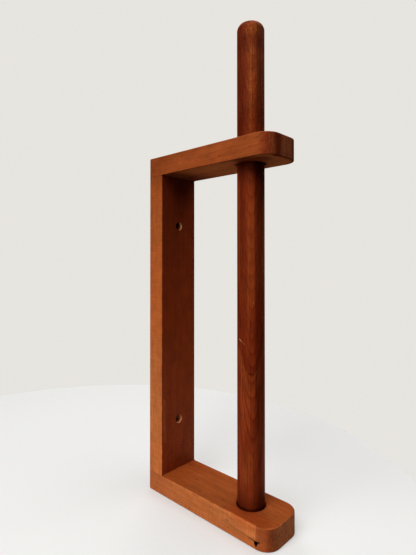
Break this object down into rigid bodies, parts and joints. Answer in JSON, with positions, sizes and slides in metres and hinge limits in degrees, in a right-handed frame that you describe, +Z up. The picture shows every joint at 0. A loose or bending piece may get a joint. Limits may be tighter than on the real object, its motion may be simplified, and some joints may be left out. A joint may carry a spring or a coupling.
{
  "type": "paper towel holder",
  "caption": "Wall-mounted wooden paper towel holder: back board, two round-nosed arms, and an upright rod that lifts out of them to change the roll.",
  "frame": {"origin": "on the wall plane, at the centre of the board's back face, midway between the two screw holes", "axes": "+Z up along the rod, +Y into the wall so that the arms reach out along -Y, +X to the right seen from the front"},
  "size_m": [0.0486, 0.155, 0.462],
  "materials": {
    "board_wood": "oiled, satin",
    "upper_arm_wood": "oiled, satin",
    "lower_arm_wood": "oiled, satin",
    "rod_wood": "oiled, satin",
    "pin_wood": "plain, unfinished"
  },
  "bodies": {
    "frame": {"back_board": "board_wood", "upper_arm": "upper_arm_wood", "lower_arm": "lower_arm_wood", "upper_joint_pin_left": "pin_wood", "upper_joint_pin_right": "pin_wood", "lower_joint_pin_left": "pin_wood", "lower_joint_pin_right": "pin_wood"},
    "spindle": {"spindle_rod": "rod_wood"}
  },
  "joints": [
    {"name": "spindle_lift", "type": "slide", "parent": "frame", "child": "spindle", "axis": [0, 0, 1], "range_m": [0, 0.36]}
  ]
}
